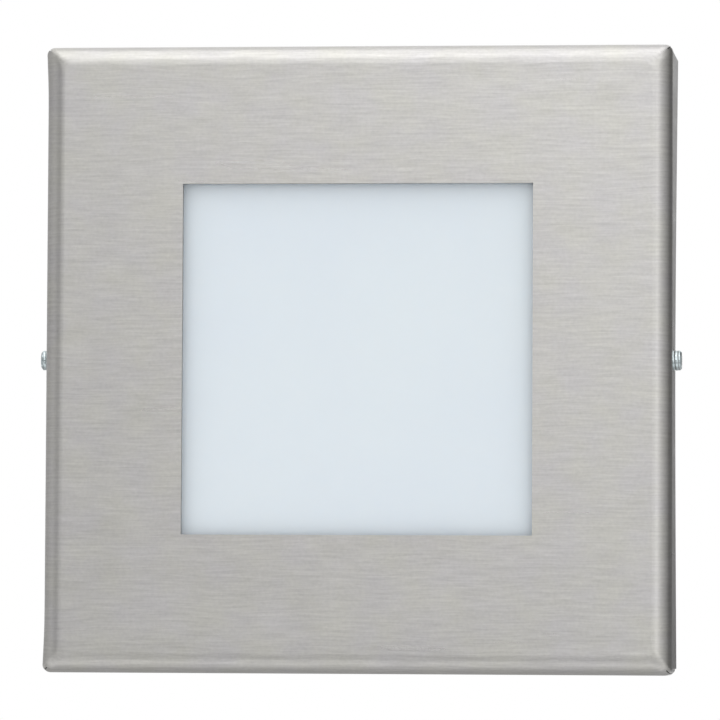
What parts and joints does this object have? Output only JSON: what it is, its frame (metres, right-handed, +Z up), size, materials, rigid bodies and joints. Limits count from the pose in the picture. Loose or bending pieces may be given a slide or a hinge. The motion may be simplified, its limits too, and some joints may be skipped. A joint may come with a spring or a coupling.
{
  "type": "recessed wall light",
  "caption": "Square brushed-steel cover with a recessed opal window, clamped by side set screws to a cast box that sits in the wall and holds the lamp.",
  "frame": {"origin": "middle of the light on the wall's surface, where the wall gasket's rear face lies", "axes": "+X to the viewer's right, +Z up, +Y into the wall"},
  "size_m": [0.1284, 0.1, 0.125],
  "materials": {
    "steel": "horizontal brushed stainless",
    "opal": "opal acrylic, satin front",
    "seal": "matt black",
    "zinc": "bright zinc plated",
    "frame": "mill finish sheet",
    "casting": "die cast, fine grain",
    "gland": "fine moulded grain",
    "reflector": "white powder coat",
    "board": "white solder mask",
    "phosphor": "pale yellow lens",
    "driver": "moulded case",
    "block": "natural nylon",
    "brass": "plain",
    "live_sleeve": "wire sleeve",
    "neutral_sleeve": "wire sleeve",
    "earth_sleeve": "wire sleeve",
    "minus_sleeve": "wire sleeve",
    "plus_sleeve": "wire sleeve"
  },
  "bodies": {
    "housing": {"wall_gasket": "seal", "gland_seal": "seal", "gland_oring": "seal", "plug_oring": "seal", "tray_screws": "zinc", "board_screws": "zinc", "driver_screws": "zinc", "block_screws": "zinc", "earth_screw": "zinc", "housing": "casting", "gland_body": "gland", "gland_cap": "gland", "gland_locknut": "gland", "blanking_plug": "gland", "plug_locknut": "gland", "reflector_tray": "reflector", "led_board": "board", "led_chips": "phosphor", "led_driver": "driver", "terminal_block": "block", "led_connector": "block", "terminal_screws": "brass", "earth_lug": "brass", "live_wire": "live_sleeve", "neutral_wire": "neutral_sleeve", "earth_wire": "earth_sleeve", "led_minus_wire": "minus_sleeve", "led_plus_wire": "plus_sleeve"},
    "cover": {"front_cover": "steel", "pane_gasket": "seal", "diffuser": "opal", "diffuser_frame": "frame", "cover_studs": "zinc", "stud_nuts": "zinc", "rim_gasket": "seal", "weld_nut_left": "zinc", "weld_nut_right": "zinc"},
    "set_screw_left": {"set_screw_left": "zinc"},
    "set_screw_right": {"set_screw_right": "zinc"}
  },
  "joints": [
    {"name": "cover_pull", "type": "slide", "parent": "housing", "child": "cover", "axis": [0, -1, 0], "range_m": [0, 0.045]},
    {"name": "left_screw_travel", "type": "slide", "parent": "cover", "child": "set_screw_left", "axis": [-1, 0, 0], "range_m": [-0.0017, 0.0044]},
    {"name": "right_screw_travel", "type": "slide", "parent": "cover", "child": "set_screw_right", "axis": [1, 0, 0], "range_m": [-0.0017, 0.0044]}
  ]
}
